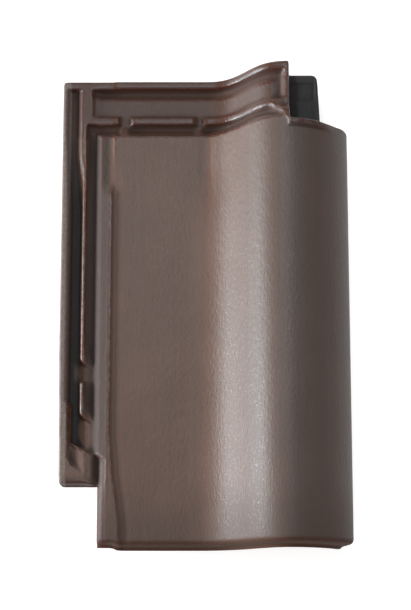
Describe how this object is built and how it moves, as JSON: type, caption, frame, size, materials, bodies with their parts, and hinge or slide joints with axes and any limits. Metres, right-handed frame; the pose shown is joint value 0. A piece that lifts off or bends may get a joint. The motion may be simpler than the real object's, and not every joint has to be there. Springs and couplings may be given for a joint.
{
  "type": "clay roof tile",
  "caption": "Interlocking clay roof tile with a flat pan, a roll on its right, a water lock down its left side, a double head lock and hanging nibs.",
  "frame": {"origin": "middle of the tile's overall width and length, on the plane that it lies on", "axes": "+X across the tile from the water lock to the roll's edge, +Y from the foot to the head, +Z out of the weather face"},
  "size_m": [0.285, 0.474, 0.0866],
  "materials": {
    "engobed_clay": "satin dark brown slip over fired clay"
  },
  "bodies": {
    "root": {"roof_tile": "engobed_clay"}
  },
  "joints": []
}
